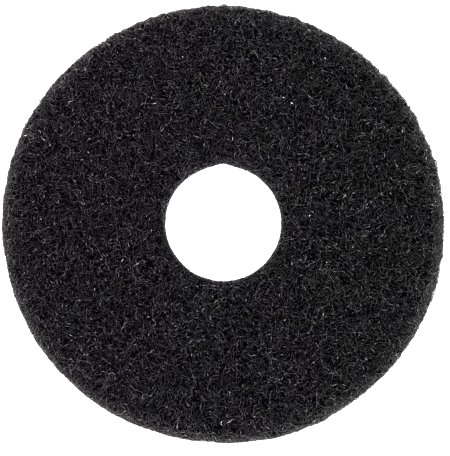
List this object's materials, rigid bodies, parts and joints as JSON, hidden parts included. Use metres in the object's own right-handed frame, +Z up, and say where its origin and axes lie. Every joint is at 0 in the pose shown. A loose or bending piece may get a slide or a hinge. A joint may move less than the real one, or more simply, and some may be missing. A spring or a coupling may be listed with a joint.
{
  "type": "floor polishing pad",
  "caption": "Thick round pad of open, bonded black nylon fibre with a centre hole, gripped by the tufted driver of a rotary floor polisher.",
  "frame": {"origin": "middle of the underside, level with the floor it lies on", "axes": "+Z up through the thickness, along the axis of the ring; +Y towards the notch in the hole's rim"},
  "size_m": [0.3056, 0.3032, 0.025],
  "materials": {
    "black_nylon_web": "open web of crimped, slightly glossy black nylon fibres with grit in the binder"
  },
  "bodies": {
    "root": {"floor_pad": "black_nylon_web"}
  },
  "joints": []
}
